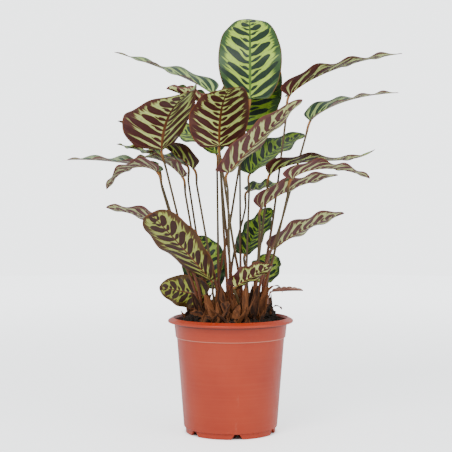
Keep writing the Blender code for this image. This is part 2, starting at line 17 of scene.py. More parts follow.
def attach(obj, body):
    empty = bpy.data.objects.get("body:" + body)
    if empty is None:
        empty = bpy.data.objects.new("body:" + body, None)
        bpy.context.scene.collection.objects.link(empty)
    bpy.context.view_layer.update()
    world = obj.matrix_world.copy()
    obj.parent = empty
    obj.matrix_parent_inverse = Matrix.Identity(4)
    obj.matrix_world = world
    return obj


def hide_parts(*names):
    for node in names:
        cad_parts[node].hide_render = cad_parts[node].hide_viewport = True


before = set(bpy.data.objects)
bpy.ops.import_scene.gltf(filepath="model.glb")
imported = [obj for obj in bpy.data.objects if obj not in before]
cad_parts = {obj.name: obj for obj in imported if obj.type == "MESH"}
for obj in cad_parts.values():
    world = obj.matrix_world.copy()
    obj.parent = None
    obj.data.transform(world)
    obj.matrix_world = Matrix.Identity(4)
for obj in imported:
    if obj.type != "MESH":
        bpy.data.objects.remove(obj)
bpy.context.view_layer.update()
UP = np.array((0.0, 0.0, 1.0))

# Photo and camera
PHOTO_SIDE = 452  # pixels
PHOTO_AXIS = 230.6  # pixel column of the pot's axis
PHOTO_HORIZON = 188.0  # pixel row of the camera's height
FOCAL = 1202.0  # pixels
SENSOR = 36.0  # millimetres
CAMERA_AWAY = 1.63
CAMERA_HEIGHT = 0.331

# Clearances
GAP = 0.0003
PAST = 0.001

# Pot
POT_HEIGHT = 0.156
POT_SIDES = 144
LIP_RADIUS = 0.085
LIP_DROP = 0.0065
LIP_EDGE = 0.0018
LIP_ROUND = 0.0008
LIP_UNDER = 0.0008
LIP_ROOT = 0.0016
MOUTH_FOOT = 0.003
MOUTH_RADIUS = 0.0778
BAND_RADIUS = 0.077
BAND_FOOT_RADIUS = 0.0746
BODY_TOP_RADIUS = 0.073
BODY_FOOT_RADIUS = 0.0635
BAND_FOOT = 0.1295
BAND_STEP = 0.001
WALL = 0.0012
FOOT_RADIUS = 0.061
FOOT_WALL = 0.0032
FOOT_HEIGHT = 0.008
FOOT_STEP = 0.0009
FLOOR_THICKNESS = 0.0016
PAD_RADIUS = 0.012
NOTCHES = 6
NOTCH_TURN = 8.0  # degrees from the front to the first notch
NOTCH_HEIGHT = 0.0068
NOTCH_WIDE = 0.016
NOTCH_NARROW = 0.0066
NOTCH_REACH = 0.005
DRAIN_RADIUS = 0.0045
DRAIN_CIRCLE = 0.045
DRAIN_SIDES = 32
EDGE_ROUND = 0.0007  # radius of the pot's moulded edges
EDGE_STEPS = 4

# Soil
SOIL_EDGE = 0.147
SOIL_MOUND = 0.018
SOIL_ROUGH = 0.0022
SOIL_GRAIN = 90.0
SOIL_LEVEL = 6
CRUMBLE_LEVEL = 12
CRUMBLE_GRAINS = ((170.0, 0.0022), (420.0, 0.0014), (1100.0, 0.0006))  # crumbs a metre, and their height
LUMP_AT = (0.049, 0.002)
LUMP_HEIGHT = 0.027
LUMP_SPREAD = 0.012
LOW_LUMP_AT = (-0.050, 0.026)
LOW_LUMP_HEIGHT = 0.012
LOW_LUMP_SPREAD = 0.012
SOIL_RINGS = 76
SOIL_SIDES = 200
CRUMBS = 520
CRUMB_DRAW = 11
CRUMB_SMALL = 0.0008
CRUMB_LARGE = 0.0032
SHREDS = 210  # loose bits of dry sheath among the stalks
SHRED_DRAW = 5
SHRED_AWAY = (0.003, 0.008)
SHRED_LEAN_RIGHT = (-0.8, 0.8)
SHRED_LEAN_AWAY = (-0.6, 0.4)
SHRED_TURN = (-0.9, 0.9)  # radians
SHRED_TALL = (0.008, 0.036)
SHRED_WIDE = (0.0030, 0.0100)
SHRED_THICK = 0.0003
SHRED_SUNK = 0.002
SHRED_RINGS = 6

# Stalks and blades
LEAF_GRID = (27, 30, 72)  # points from margin to margin, rings of the stalk and rings of the blade
DRY_GRID = (13, 4, 34)
BLADE_THICK = 0.0005
STALK_FOOT_RADIUS = 0.0021
STALK_RADIUS = 0.0015
STALK_THINNED = 0.6
JOINT_RADIUS = 0.0018
JOINT_LENGTH = 0.024
JOINT_SHARE = 0.4
JOINT_SWOLLEN = 0.7
RIB_TIP = 0.0001
RIB_HALF = 0.0011  # half width of the midrib at the blade's base
TIP_HALF = 0.0005
LOBE_FADE = 5
FOLD_FADE = 3
LIFT_LATE = 4
EVEN_SHARE = 0.45
MIDRIB_STEPS = 120
FLATTENED = 0.06
BURIED = 0.004
COLLAR = 0.002
STRIP_NECK = 0.003

# Pattern and ripples of the blades
VEIN_RISE = 0.31  # how far a side vein climbs to the margin, as a share of the blade's length
VEIN_BEND = 1.3
PATCH_STEP = 0.145  # share of the length from one large patch to the next
PATCH_LEAST = 0.0125  # and the least it is on a short blade
PLEAT = 0.0005
CRINKLE = 0.0012
FULL_RIPPLE = 0.06  # width of the blades from which the ripples have their full height
GLOW_SHARE = 0.30  # of the light that a blade lets through
DRY_LEAF_SEED = 40
STRIP_SEED = 50
TONE_STEP = 2.4  # radians from one dry piece's tone to the next

# Room
FLOOR_RADIUS = 3.0
FLOOR_SIDES = 96
SURROUND = 1.2
BACKDROP = 3.2  # brightness of the white backdrop, as the camera sees it
FLOOR_NEAR = 1.25  # how far the floor outshines its own light near the pot, and far off
FLOOR_FAR = 2.2
FLOOR_REACH = (0.4, 2.2)  # distances from the pot's axis between which it brightens
DAYLIGHT = (0.96, 0.985, 1.0, 1.0)
LIGHT_SIZE = 1.2
LIGHT_TARGET = (0.0, 0.0, 0.25)
KEY_AT = (-0.7, -1.5, 1.6)
KEY_POWER = 42.0
FILL_AT = (1.3, -1.0, 0.9)
FILL_POWER = 12.0


class Leaf(NamedTuple):
    """One leaf. Angles are in degrees. A heading of 0 is right, 90 is away and -90 is towards the viewer."""

    name: str
    foot: tuple  # where the stalk leaves the soil
    neck: tuple  # where the blade begins
    heading: float  # way that the blade runs, seen from above
    rise: float  # slope of the blade at its base
    droop: float  # by how much the slope falls towards the tip
    length: float
    width: float
    bow: tuple = (0.0, 0.0)  # how far the middle of the stalk lies off the straight line
    swing: float = 0.0  # sideways bend of the blade
    when: float = 1.2  # under 1 it bends near its base, over 1 near its tip
    lift: float = 0.0  # how far the tip turns up again
    roll: float = 0.0  # turn of the upper side to the right, as seen from the base
    twist: float = 0.0  # further turn at the tip
    fold: tuple = (15.0, 15.0)  # how far the left and the right half are raised at the base
    fold_tip: tuple = (5.0, 5.0)
    base: float = 0.42  # power of the outline at the base: a small one makes it blunt
    tip: float = 0.62  # power of the outline at the tip
    lobe: float = 0.008  # how far the margins are drawn back beside the stalk
    curl: float = 10.0  # further bend of each half, towards its margin
    wave: tuple = (0.003, 3.0, 0.0)  # height, number and start of the waves of the margins
    rib: float = 0.0009  # how far the midrib stands out under the blade's base


LEAVES = [
    Leaf("leaf_01", (-0.020, 0.026), (0.027, 0.045, 0.454), 90, 92, 80, 0.142, 0.088, when=2.0, fold=(0, 0),
         fold_tip=(-4, -4), curl=4, wave=(0.002, 2.5, 0.2)),
    Leaf("leaf_02", (0.014, 0.034), (0.013, 0.088, 0.413), 20, 72, 22, 0.116, 0.092, roll=55, fold=(8, 8),
         base=0.32),
    Leaf("leaf_03", (0.043, 0.014), (0.0813, 0.055, 0.459), 0, 62, 55, 0.172, 0.066, when=0.33, fold=(10, 50),
         fold_tip=(0, 0), lobe=0.016, wave=(0.003, 4, 0)),
    Leaf("leaf_04", (0.037, 0.004), (0.111, 0.055, 0.424), 5, 64, 62, 0.135, 0.056, when=0.35, fold=(55, 0),
         fold_tip=(0, 0), wave=(0.002, 4, 0)),
    Leaf("leaf_05", (0.017, -0.020), (-0.015, -0.070, 0.384), -88, 76, 70, 0.101, 0.081, swing=24, when=1.6,
         roll=8, fold=(4, 4), fold_tip=(0, 0), wave=(0.0015, 3, 0)),
    Leaf("leaf_06", (0.000, -0.028), (-0.004, -0.085, 0.350), -30, 44, 8, 0.140, 0.072, base=0.36,
         fold=(8, 8), lobe=0.012, wave=(0.002, 3, 0.3)),
    Leaf("leaf_07", (-0.039, -0.010), (-0.092, -0.025, 0.381), -80, 62, 46, 0.116, 0.117, swing=42, roll=-6,
         twist=26, fold=(56, 6), fold_tip=(14, 5), lobe=0.009, wave=(0.002, 3, 0)),
    Leaf("leaf_08", (-0.004, 0.008), (-0.018, 0.012, 0.436), 180, 28, 10, 0.076, 0.036, curl=120),
    Leaf("leaf_09", (0.003, 0.020), (-0.023, 0.032, 0.460), 175, 54, 37, 0.152, 0.060, when=0.2, roll=-6,
         fold=(0, 45), fold_tip=(0, 0)),
    Leaf("leaf_10", (-0.034, 0.011), (-0.0655, 0.003, 0.346), 176, 50, 62, 0.072, 0.048, fold=(45, 10)),
    Leaf("leaf_11", (-0.016, 0.000), (-0.0507, 0.033, 0.357), 180, 48, 22, 0.125, 0.064, when=0.4,
         fold=(55, 10)),
    Leaf("leaf_12", (-0.040, 0.020), (-0.103, 0.048, 0.358), 171, 12, 14, 0.130, 0.052, roll=-5),
    Leaf("leaf_13", (-0.043, -0.002), (-0.098, -0.020, 0.352), 164, 44, 104, 0.086, 0.048, when=0.7,
         fold=(45, 10), tip=0.8),
    Leaf("leaf_14", (-0.038, 0.042), (-0.063, 0.070, 0.268), 176, 23, 13, 0.120, 0.056, roll=18),
    Leaf("leaf_15", (-0.020, -0.022), (-0.026, -0.032, 0.208), 214, 46, 4, 0.130, 0.064, roll=17, twist=16,
         fold=(0, 0), fold_tip=(0, 0), base=0.62, tip=0.38, wave=(0.002, 3, 0)),
    Leaf("leaf_16", (-0.029, 0.031), (-0.036, 0.034, 0.192), 100, 78, 20, 0.078, 0.064),
    Leaf("leaf_17", (-0.027, -0.008), (-0.0335, -0.003, 0.184), 170, 12, 5, 0.066, 0.046, roll=84),
    Leaf("leaf_18", (0.014, -0.036), (0.006, -0.054, 0.201), -22, 32, 4, 0.060, 0.037, roll=-50, fold=(40, 0),
         fold_tip=(30, 0), lobe=0.014),
    Leaf("leaf_19", (0.045, 0.036), (0.047, 0.060, 0.199), 70, 62, 20, 0.048, 0.045),
    Leaf("leaf_20", (0.026, 0.032), (0.020, 0.050, 0.238), 40, 56, 5, 0.081, 0.047, roll=10),
    Leaf("leaf_21", (0.033, -0.014), (0.0405, -0.014, 0.3025), -2, 58, 48, 0.115, 0.060, when=0.4, roll=-12,
         fold=(10, 40)),
    Leaf("leaf_22", (0.043, -0.008), (0.079, -0.062, 0.3425), 8, 50, 74, 0.110, 0.049, when=0.5, roll=-4,
         fold=(5, 50), lobe=0.018, wave=(0.003, 3.5, 0)),
    Leaf("leaf_23", (0.030, 0.008), (0.0525, 0.012, 0.348), 0, 70, 88, 0.152, 0.053, when=0.3, lift=58,
         roll=-3, fold=(10, 45), fold_tip=(2, 2)),
    Leaf("leaf_24", (0.020, 0.014), (0.027, 0.075, 0.3505), 22, 56, 32, 0.104, 0.070, when=0.5, roll=14),
    Leaf("leaf_25", (-0.002, 0.036), (0.025, 0.095, 0.326), 10, 16, 14, 0.058, 0.046, bow=(-0.006, 0.005),
         roll=12),
    Leaf("leaf_26", (0.047, 0.026), (0.0565, 0.050, 0.244), -4, 36, 20, 0.115, 0.062, roll=-20),
    Leaf("leaf_27", (-0.031, 0.020), (-0.0623, 0.047, 0.363), 163, 18, 4, 0.108, 0.048, roll=-4,
         wave=(0.004, 4, 0.1)),
    Leaf("leaf_28", (-0.016, 0.014), (-0.019, 0.040, 0.377), 165, 68, 62, 0.104, 0.064, when=0.4, roll=-22,
         lobe=0.003),
]

DRY_LEAF = Leaf("dry_leaf", (0.050, -0.003), (0.0545, -0.003, 0.190), 0, 5, 6, 0.044, 0.012,
                fold=(20, 20), fold_tip=(20, 20), lobe=0.0, curl=110, wave=(0.0012, 3, 0), rib=0.0)

# How pale each leaf is, from -1 for dark and glowing through 0 to 1 for silvery and faded. This is partly
# each leaf's own tone and partly painted light: painted shade and glow towards -1, painted sheen towards 1.
PALENESS = (
    0.0, -0.8, 0.3, 0.6, -0.15, 0.35, 0.1,  # leaf_01 to leaf_07
    0.3, 0.5, 0.7, -0.5, 0.9, 0.8, 0.6,  # leaf_08 to leaf_14
    -0.75, -0.4, -1.0, -0.35, 0.1, -0.7, 0.5,  # leaf_15 to leaf_21
    0.5, 0.15, -0.8, -0.3, 0.4, 0.0, -0.1,  # leaf_22 to leaf_28
)


def dry_strip(name, foot, heading, rise, droop, length, width, curl=60, roll=0, base=0.25, tip=0.7):
    """A dry sheath or root strap, as a leaf whose blade begins just over the soil."""
    flat = radians(heading)
    out = STRIP_NECK * cos(radians(rise))
    height = soil_height(*foot) + COLLAR + STRIP_NECK
    neck = (foot[0] + out * cos(flat), foot[1] + out * sin(flat), height)
    return Leaf(name, foot, neck, heading, rise, droop, length, width, roll=roll, fold=(10, 10),
                fold_tip=(0, 0), base=base, tip=tip, lobe=0.0, curl=curl, wave=(0.001, 2, 0), rib=0.0)


def dry_strips():
    """The papery sheaths round the foot of the clump, and the curled root straps on the lump."""
    return [
        dry_strip("sheath_01", (-0.0040, -0.057), 180, 84, 6, 0.023, 0.011, curl=20, roll=-90,
                  base=1.0, tip=0.15),
        dry_strip("sheath_02", (0.0200, -0.055), 0, 93, 6, 0.041, 0.008, curl=50, roll=90,
                  base=0.3, tip=0.35),
        dry_strip("sheath_03", (-0.0110, -0.046), 180, 84, -8, 0.040, 0.014, curl=50, roll=-80),
        dry_strip("sheath_04", (0.0060, -0.057), 0, 80, 14, 0.019, 0.010, curl=40, roll=80),
        dry_strip("sheath_05", (-0.0350, -0.041), 190, 28, 30, 0.017, 0.011, curl=40, roll=-40),
        dry_strip("sheath_06", (-0.0190, -0.057), 195, 24, 12, 0.013, 0.008, curl=40, roll=-35),
        dry_strip("sheath_07", (-0.0250, -0.045), 180, 80, 14, 0.030, 0.013, curl=60, roll=-90),
        dry_strip("sheath_08", (0.0310, -0.046), 0, 88, 12, 0.042, 0.013, curl=60, roll=85),
        dry_strip("sheath_09", (0.0410, -0.034), 0, 84, 14, 0.040, 0.013, curl=60, roll=75),
        dry_strip("sheath_10", (0.0075, -0.035), 0, 90, 10, 0.046, 0.010, curl=80, roll=80),
        dry_strip("sheath_11", (-0.0410, -0.026), 180, 76, 14, 0.030, 0.012, curl=70, roll=-80),
        dry_strip("sheath_12", (-0.0080, 0.049), 180, 84, 14, 0.034, 0.014, curl=70, roll=80),
        dry_strip("sheath_13", (0.0240, 0.049), 0, 82, 14, 0.030, 0.013, curl=70, roll=-80),
        dry_strip("sheath_14", (-0.0500, 0.030), 140, 70, 14, 0.028, 0.012, curl=70),
        dry_strip("sheath_15", (0.0050, -0.045), 0, 92, 8, 0.022, 0.012, curl=60, roll=95),
        dry_strip("sheath_16", (0.0255, -0.034), 0, 87, 6, 0.037, 0.010, curl=80, roll=80),
        dry_strip("sheath_17", (-0.0145, -0.034), 180, 86, 10, 0.036, 0.011, curl=80, roll=-80),
        dry_strip("sheath_18", (-0.0540, 0.017), 160, 68, 16, 0.022, 0.012, curl=60, roll=-40),
        dry_strip("sheath_19", (0.0410, 0.052), 20, 74, 14, 0.026, 0.012, curl=70, roll=-60),
        dry_strip("root_strap_01", (0.0520, 0.005), 20, 100, 190, 0.036, 0.004, curl=30, base=0.2, tip=0.3),
        dry_strip("root_strap_02", (0.0540, -0.010), -20, 60, 130, 0.018, 0.004, curl=30, base=0.2, tip=0.3),
    ]


def new_object(name, data):
    made = bpy.data.objects.new(name, data)
    bpy.context.scene.collection.objects.link(made)
    return made


def add_piece(name, mesh, sharp_degrees, node, materials):
    """A smooth piece with sharp edges from an angle on. Where a node is named, that node's imported part is
    hidden.
    """
    mesh.shade_smooth()
    mesh.set_sharp_from_angle(angle=radians(sharp_degrees))
    for surface in materials:
        mesh.materials.append(surface)
    made = new_object(name, mesh)
    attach(made, "root")
    if node:
        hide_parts(node)


def mesh_of(name, points, faces):
    made = bpy.data.meshes.new(name)
    made.from_pydata([tuple(p) for p in points], [], faces)
    made.update()
    return made


def turned(name, profile, sides):
    """A closed skin turned about +Z, from a profile that starts on the axis below and ends on it above."""
    points = [(0.0, 0.0, profile[0][1])]
    for radius, height in profile[1:-1]:
        points += circle(0.0, 0.0, height, radius, sides)
    points.append((0.0, 0.0, profile[-1][1]))
    rows = len(profile) - 2
    last = 1 + (rows - 1) * sides
    faces = []
    for k in range(sides):
        after = (k + 1) % sides
        faces.append((0, 1 + after, 1 + k))
        for row in range(rows - 1):
            low, high = 1 + row * sides, 1 + (row + 1) * sides
            faces.append((low + k, low + after, high + after, high + k))
        faces.append((last + k, last + after, len(points) - 1))
    return mesh_of(name, points, faces)


def ring_faces(low, high, size):
    """Faces between two rings of points, from the numbers of their first points."""
    return [(low + k, low + (k + 1) % size, high + (k + 1) % size, high + k) for k in range(size)]


def prisms(name, outlines):
    """One mesh of closed prisms, each given as its lower and its upper outline."""
    points, faces = [], []
    for lower, upper in outlines:
        first, sides = len(points), len(lower)
        points += [*lower, *upper]
        faces.append(tuple(first + k for k in reversed(range(sides))))
        faces.append(tuple(first + sides + k for k in range(sides)))
        faces += ring_faces(first, first + sides, sides)
    return mesh_of(name, points, faces)


def circle(x, y, z, radius, sides):
    turns = [2 * pi * k / sides for k in range(sides)]
    return [(x + radius * cos(turn), y + radius * sin(turn), z) for turn in turns]


def pot_inside():
    """(radius, height) points of the pot's inner wall, from its floor up to its mouth."""
    floor = FOOT_HEIGHT + FLOOR_THICKNESS
    return [
        (BODY_FOOT_RADIUS - WALL, floor),
        (BODY_TOP_RADIUS - WALL, BAND_FOOT - BAND_STEP),
        (BAND_FOOT_RADIUS - WALL, BAND_FOOT + BAND_STEP),
        (BAND_RADIUS - WALL, POT_HEIGHT - LIP_DROP + MOUTH_FOOT),
        (MOUTH_RADIUS - GAP, POT_HEIGHT - LIP_ROUND),
    ]


def pot_profile():
    floor = FOOT_HEIGHT + FLOOR_THICKNESS
    lip_foot = POT_HEIGHT - LIP_DROP
    edge_foot = lip_foot + LIP_UNDER
    outside = [
        (FOOT_RADIUS, 0.0),
        (FOOT_RADIUS, FOOT_HEIGHT - FOOT_STEP),
        (BODY_FOOT_RADIUS, FOOT_HEIGHT),
        (BODY_TOP_RADIUS, BAND_FOOT - BAND_STEP),
        (BAND_FOOT_RADIUS, BAND_FOOT),
        (BAND_RADIUS, lip_foot + LIP_ROOT),
        (LIP_RADIUS - LIP_UNDER, lip_foot),
        (LIP_RADIUS, edge_foot),
        (LIP_RADIUS, edge_foot + LIP_EDGE),
        (LIP_RADIUS - LIP_ROUND, edge_foot + LIP_EDGE + LIP_ROUND),
        (MOUTH_RADIUS + LIP_ROUND, POT_HEIGHT),
        (MOUTH_RADIUS, POT_HEIGHT),
    ]
    below = [(0.0, 0.0), (PAD_RADIUS, 0.0), (PAD_RADIUS + GAP, FOOT_HEIGHT)]
    ring = [(FOOT_RADIUS - FOOT_WALL, FOOT_HEIGHT), (FOOT_RADIUS - FOOT_WALL, 0.0)]
    return below + ring + outside + pot_inside()[::-1] + [(0.0, floor)]


def rounded(profile):
    """The profile with a small arc at each corner, as a mould gives it."""
    made = [profile[0]]
    for before, here, after in zip(profile, profile[1:], profile[2:]):
        corner = np.array(here)
        arms = [np.array(before) - corner, np.array(after) - corner]
        ends = []
        for arm in arms:
            reach = min(EDGE_ROUND, 0.4 * np.linalg.norm(arm))
            ends.append(corner + arm / np.linalg.norm(arm) * reach)
        for k in range(EDGE_STEPS + 1):
            h = k / EDGE_STEPS
            made.append(tuple(ends[0] * (1 - h) ** 2 + corner * 2 * h * (1 - h) + ends[1] * h**2))
    made.append(profile[-1])
    return made


def notch_outlines():
    """Trapezoids cut through the foot ring, one every sixth of a turn."""
    near, far = FOOT_RADIUS - FOOT_WALL - NOTCH_REACH, FOOT_RADIUS + NOTCH_REACH
    wide = NOTCH_WIDE + (NOTCH_WIDE - NOTCH_NARROW) * PAST / NOTCH_HEIGHT
    made = []
    for k in range(NOTCHES):
        turn = radians(NOTCH_TURN - 90.0 + 360.0 / NOTCHES * k)
        out = Vector((cos(turn), sin(turn), 0.0))
        side = Vector((-sin(turn), cos(turn), 0.0))
        levels = []
        for breadth, height in ((wide, -PAST), (NOTCH_NARROW, NOTCH_HEIGHT)):
            corners = ((near, -1), (far, -1), (far, 1), (near, 1))
            up = Vector((0.0, 0.0, height))
            levels.append([tuple(out * r + side * (h * breadth / 2) + up) for r, h in corners])
        made.append(levels)
    return made


def drain_outlines():
    made = []
    for k in range(NOTCHES):
        turn = radians(NOTCH_TURN - 90.0 + 360.0 / NOTCHES * (k + 0.5))
        x, y = DRAIN_CIRCLE * cos(turn), DRAIN_CIRCLE * sin(turn)
        ends = (FOOT_HEIGHT - PAST, FOOT_HEIGHT + FLOOR_THICKNESS + PAST)
        made.append([circle(x, y, z, DRAIN_RADIUS, DRAIN_SIDES) for z in ends])
    return made


def add_pot(surface):
    """The pot with rounded edges, its notches and drain holes cut out."""
    whole = new_object("pot_whole", turned("pot_whole", rounded(pot_profile()), POT_SIDES))
    cutter = new_object("pot_openings", prisms("pot_openings", notch_outlines() + drain_outlines()))
    modifier = whole.modifiers.new("cut", "BOOLEAN")
    modifier.operation = "DIFFERENCE"
    modifier.object = cutter
    graph = bpy.context.evaluated_depsgraph_get()
    mesh = bpy.data.meshes.new_from_object(whole.evaluated_get(graph))
    for thing in (whole, cutter):
        bpy.data.objects.remove(thing, do_unlink=True)
    mesh.materials.clear()
    add_piece("pot_shell", mesh, 40, "pot", [surface])


def soil_height(x, y):
    """Height of the soil's surface, with its mound and its lumps."""
    share = min(1.0, hypot(x, y) / soil_radius(SOIL_EDGE))
    height = SOIL_EDGE + SOIL_MOUND * (1.0 - share**2)
    lumps = ((LUMP_AT, LUMP_HEIGHT, LUMP_SPREAD), (LOW_LUMP_AT, LOW_LUMP_HEIGHT, LOW_LUMP_SPREAD))
    for (at_x, at_y), tall, spread in lumps:
        away = hypot(x - at_x, y - at_y) / spread
        height += tall * exp(-(away**2)) * (1.0 - share**SOIL_LEVEL)
    rough = noise.noise(Vector((x, y, 0.0)) * SOIL_GRAIN)
    return height + SOIL_ROUGH * rough * (1.0 - share**SOIL_LEVEL)


def soil_radius(height):
    """The soil's radius at a height: a gap inside the pot's inner wall."""
    radii, heights = zip(*pot_inside())
    return float(np.interp(height, heights, radii)) - GAP


def crumble(x, y):
    """Loose crumbs of three sizes on the soil's surface."""
    made = 0.0
    for grain, tall in CRUMBLE_GRAINS:
        made += tall * noise.noise(Vector((x, y, 0.5)) * grain)
    return made


def add_soil(surface):
    """The soil down to the pot's floor, with a crumbly surface."""
    bottom = FOOT_HEIGHT + FLOOR_THICKNESS + GAP
    top = soil_radius(SOIL_EDGE)
    wall = [height for _, height in pot_inside()[1:3]]
    sides = [(soil_radius(height), height) for height in (bottom, *wall, SOIL_EDGE)]
    rings = [(top * (SOIL_RINGS - k) / SOIL_RINGS, SOIL_EDGE) for k in range(1, SOIL_RINGS)]
    mesh = turned("soil", [(0.0, bottom)] + sides + rings + [(0.0, SOIL_EDGE)], SOIL_SIDES)
    for vertex in mesh.vertices:
        if abs(vertex.co.z - SOIL_EDGE) < GAP:
            x, y = vertex.co.x, vertex.co.y
            share = min(1.0, hypot(x, y) / top)
            vertex.co.z = soil_height(x, y) + crumble(x, y) * (1.0 - share**CRUMBLE_LEVEL)
    add_piece("soil_bed", mesh, 80, "soil", [surface])


def add_crumbs(surface):
    """Small clods lying on the soil, as one piece."""
    draw = random.Random(CRUMB_DRAW)
    ball = bmesh.new()
    bmesh.ops.create_icosphere(ball, subdivisions=2, radius=1.0)
    corners = [np.array(v.co) for v in ball.verts]
    ball_faces = [tuple(v.index for v in face.verts) for face in ball.faces]
    ball.free()
    points, faces = [], []
    for _ in range(CRUMBS):
        away = (soil_radius(SOIL_EDGE) - CRUMB_LARGE * 2) * sqrt(draw.random())
        turn = 2 * pi * draw.random()
        x, y = away * cos(turn), away * sin(turn)
        size = CRUMB_SMALL + (CRUMB_LARGE - CRUMB_SMALL) * draw.random() ** 3
        flat = 0.6 + 0.4 * draw.random()
        shift = 40.0 * draw.random()
        centre = np.array([x, y, soil_height(x, y) + crumble(x, y) + size * 0.25])
        first = len(points)
        for corner in corners:
            swell = 1.0 + 0.55 * noise.noise(Vector(corner * 1.7 + shift))
            points.append(centre + corner * size * swell * np.array([1.0, 1.0, flat]))
        faces += [tuple(first + k for k in face) for face in ball_faces]
    mesh = mesh_of("soil_crumbs", points, faces)
    add_piece("soil_crumbs", mesh, 80, None, [surface])


def unit(v):
    return v / np.linalg.norm(v)


def blade_ways(leaf, shares):
    """For each share of the blade's length: the ways along, to the right margin and out of the upper side."""
    ways = []
    for s in shares:
        slope = radians(leaf.rise - leaf.droop * s**leaf.when + leaf.lift * s**LIFT_LATE)
        turn = radians(leaf.heading + leaf.swing * s)
        lean = radians(leaf.roll + leaf.twist * s)
        flat = np.array([cos(turn), sin(turn), 0.0])
        along = flat * cos(slope) + UP * sin(slope)
        over = UP * cos(slope) - flat * sin(slope)
        side = np.cross(along, over)
        out = over * cos(lean) + side * sin(lean)
        ways.append((along, np.cross(along, out), out))
    return ways


def midrib(leaf, shares):
    """Points on the midrib at these shares of its length."""
    fine = np.linspace(0.0, 1.0, MIDRIB_STEPS + 1)
    along = np.array([way[0] for way in blade_ways(leaf, fine)])
    steps = (along[1:] + along[:-1]) / 2.0 * (leaf.length / MIDRIB_STEPS)
    path = np.array(leaf.neck) + np.vstack([np.zeros(3), np.cumsum(steps, axis=0)])
    return np.array([[np.interp(s, fine, path[:, axis]) for axis in range(3)] for s in shares])


def curve_through(points, first_way, last_way, rings):
    """Points on a smooth curve, some in each span, with the ways it starts and ends in."""
    spans = [np.linalg.norm(b - a) for a, b in zip(points, points[1:])]
    slopes = [first_way]
    for i in range(1, len(points) - 1):
        before = (points[i] - points[i - 1]) / spans[i - 1]
        after = (points[i + 1] - points[i]) / spans[i]
        slopes.append((before * spans[i] + after * spans[i - 1]) / (spans[i] + spans[i - 1]))
    slopes.append(last_way)
    made = [points[0]]
    for i, span in enumerate(spans):
        for k in range(1, rings[i] + 1):
            h = k / rings[i]
            made.append(
                points[i] * (2 * h**3 - 3 * h**2 + 1)
                + slopes[i] * span * (h**3 - 2 * h**2 + h)
                + points[i + 1] * (3 * h**2 - 2 * h**3)
                + slopes[i + 1] * span * (h**3 - h**2)
            )
    return np.array(made)


def stalk_path(leaf, rings):
    """The stalk's points up to the neck, their distances along it, and the joint's length."""
    foot = np.array([*leaf.foot, soil_height(*leaf.foot) + COLLAR])
    neck = np.array(leaf.neck)
    run = neck - foot
    joint = min(JOINT_LENGTH, JOINT_SHARE * np.linalg.norm(run))
    below = neck - unit(run) * joint
    middle = (foot + below) / 2.0 + np.array([*leaf.bow, 0.0])
    last_way = blade_ways(leaf, [0.0])[0][0]
    lower = rings // 3
    parts = (lower, lower, rings - 2 * lower)
    path = curve_through([foot, middle, below, neck], UP, last_way, parts)
    lengths = np.concatenate([[0.0], np.cumsum(np.linalg.norm(np.diff(path, axis=0), axis=1))])
    return path, lengths, joint


def carried_back(path, last_side, last_out):
    """Side and out ways along a path, turned as little as possible from those at its end."""
    ways = [(last_side, last_out)]
    alongs = [unit(path[min(i + 1, len(path) - 1)] - path[max(i - 1, 0)]) for i in range(len(path))]
    for i in range(len(path) - 2, -1, -1):
        side, out = ways[0]
        turn = Vector(alongs[i + 1]).rotation_difference(Vector(alongs[i])).to_matrix()
        ways.insert(0, (np.array(turn @ Vector(side)), np.array(turn @ Vector(out))))
    return ways


def round_ring(centre, side, out, radius, across):
    """A ring of twice as many points as across, the first half of them on the upper side."""
    angles = [pi * (1.0 - (k + 0.5) / across) for k in range(2 * across)]
    return np.array([centre + radius * (cos(a) * side + sin(a) * out) for a in angles])


def half_width(leaf, s):
    """Half the blade's breadth at a share of its length."""
    peak = leaf.base / (leaf.base + leaf.tip)
    most = peak**leaf.base * (1.0 - peak) ** leaf.tip
    return leaf.width / 2.0 * s**leaf.base * (1.0 - s) ** leaf.tip / most + TIP_HALF


def section(leaf, s, places):
    """Each place's way back, to the side and over the midrib, for places from -1 to 1."""
    half = half_width(leaf, s)
    tall, number, start = leaf.wave
    made = []
    for t in places:
        half_of = 0 if t < 0 else 1
        closing = leaf.fold[half_of] - leaf.fold_tip[half_of]
        fold = radians(leaf.fold_tip[half_of] + closing * (1.0 - s) ** FOLD_FADE)
        bend = radians(leaf.curl) * abs(t) + 1e-6
        reach = abs(t) * half / bend
        aside = reach * (sin(fold + bend) - sin(fold))
        height = reach * (cos(fold) - cos(fold + bend))
        phase = start + number * s + (0.5 if t < 0 else 0.0)
        open_share = sin(pi * s) ** 0.5
        height += tall * t * t * sin(2 * pi * phase) * open_share
        back = leaf.lobe * t * t * (1.0 - s) ** LOBE_FADE
        made.append((back, copysign(aside, t), height))
    return made


def vein_at(s, t):
    """Where the side vein through this place leaves the midrib."""
    return s - VEIN_RISE * (1.0 - 0.45 * s) * abs(t) ** VEIN_BEND


def patch_step(leaf):
    return max(PATCH_STEP, PATCH_LEAST / leaf.length)


def ripple(leaf, s, t, seed):
    """Height of the fine ripples: pleats along the side veins, and crinkles of the margin."""
    pleat = sin(2 * pi * vein_at(s, t) / patch_step(leaf)) * abs(t) * (1.0 - t * t)
    crinkle = noise.noise(Vector((s * 9.0, t * 1.5, seed * 3.7))) * abs(t) ** 3
    grow = min(1.0, leaf.width / FULL_RIPPLE) * sin(pi * s) ** 0.5
    return grow * (PLEAT * pleat + CRINKLE * crinkle)


